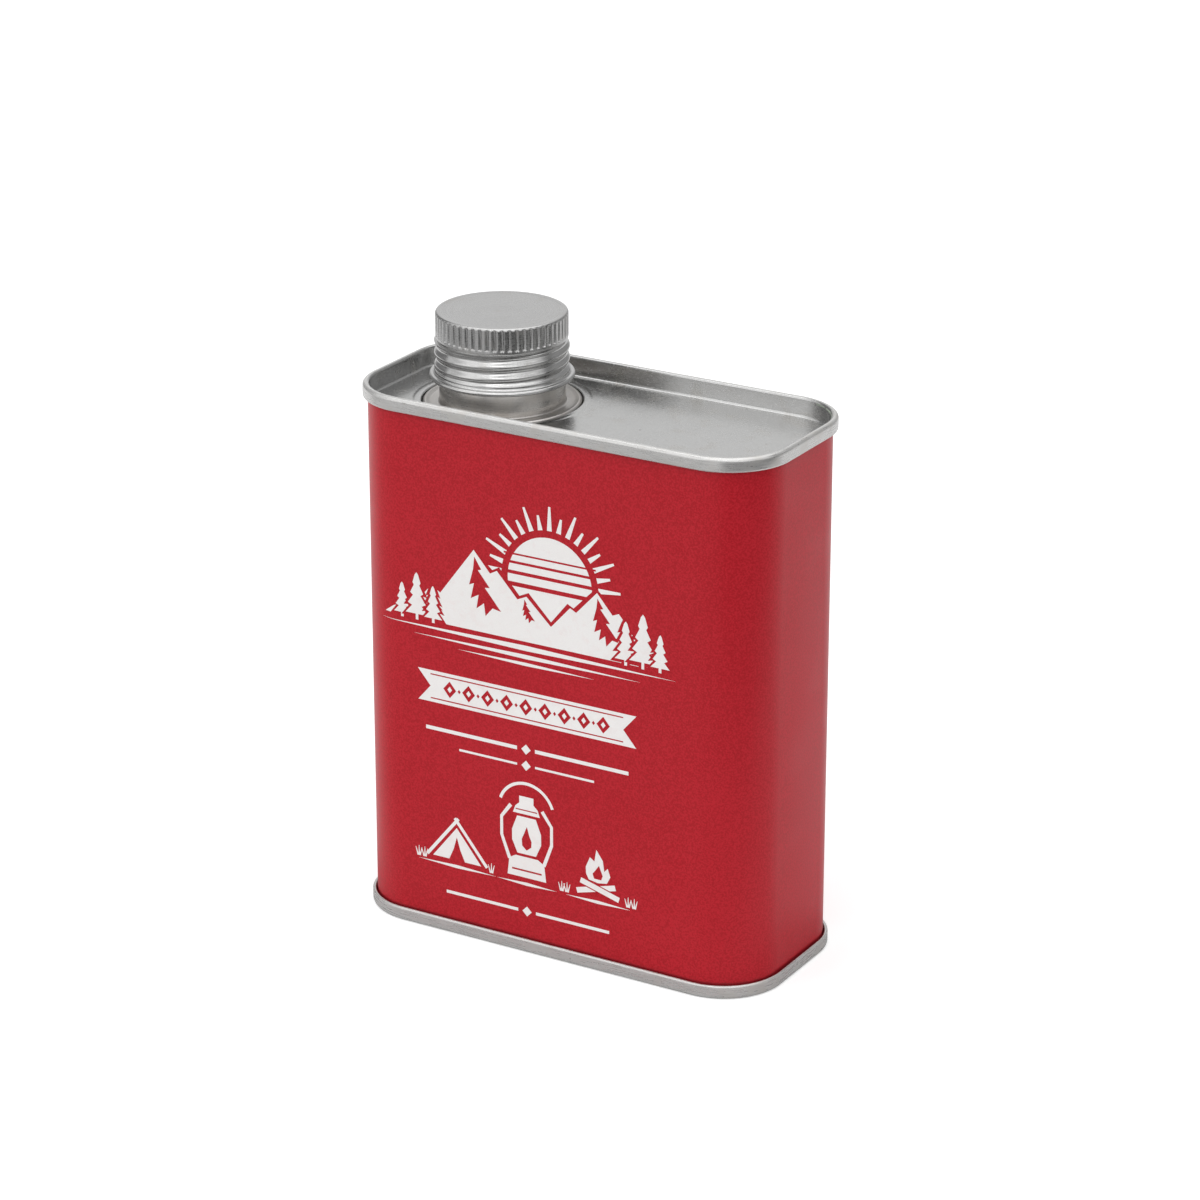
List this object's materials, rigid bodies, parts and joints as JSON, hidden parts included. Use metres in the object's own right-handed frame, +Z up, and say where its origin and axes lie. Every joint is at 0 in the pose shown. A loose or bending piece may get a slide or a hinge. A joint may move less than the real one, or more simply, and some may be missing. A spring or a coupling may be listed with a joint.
{
  "type": "paraffin can",
  "caption": "Flat rectangular paraffin can: lacquered sheet body with seamed tinplate ends, a clinched screw neck, push-in plug and knurled screw cap.",
  "frame": {"origin": "on the floor, under the middle of the can's bounding box", "axes": "+Z up, +X along the long side away from the neck, -Y out of the broad printed face"},
  "size_m": [0.1086, 0.0492, 0.1457],
  "materials": {
    "lacquered_sheet": "satin red lacquer with a fine grain",
    "tinplate": "satin tinplate",
    "neck_tinplate": "satin tinplate, turned",
    "cap_tinplate": "satin tinplate, turned and knurled",
    "sealing_compound": "matte",
    "gasket_rubber": "matte",
    "plug_plastic": "natural moulded plastic",
    "liner_foam": "fine closed foam"
  },
  "bodies": {
    "can": {"body_shell": "lacquered_sheet", "top_end": "tinplate", "bottom_end": "tinplate", "top_seam_sealant": "sealing_compound", "bottom_seam_sealant": "sealing_compound", "neck": "neck_tinplate", "neck_gasket": "gasket_rubber"},
    "plug": {"inner_plug": "plug_plastic"},
    "liner": {"cap_liner": "liner_foam"},
    "cap": {"screw_cap": "cap_tinplate"}
  },
  "joints": [
    {"name": "cap_lift", "type": "slide", "parent": "can", "child": "liner", "axis": [0, 0, 1], "range_m": [0, 0.0211]},
    {"name": "cap_turn", "type": "hinge", "parent": "liner", "child": "cap", "pos_m": [-0.02504, 0, 0.138], "axis": [0, 0, 1], "range_deg": [0, 2700]},
    {"name": "plug_pull", "type": "slide", "parent": "can", "child": "plug", "axis": [0, 0, 1], "range_m": [0, 0.006]}
  ],
  "couplings": [
    {"joint": "cap_lift", "follows": "cap_turn", "m_per_rad": 0.00044563},
    {"joint": "plug_pull", "follows": "cap_turn", "m_per_rad": 0.000127}
  ]
}
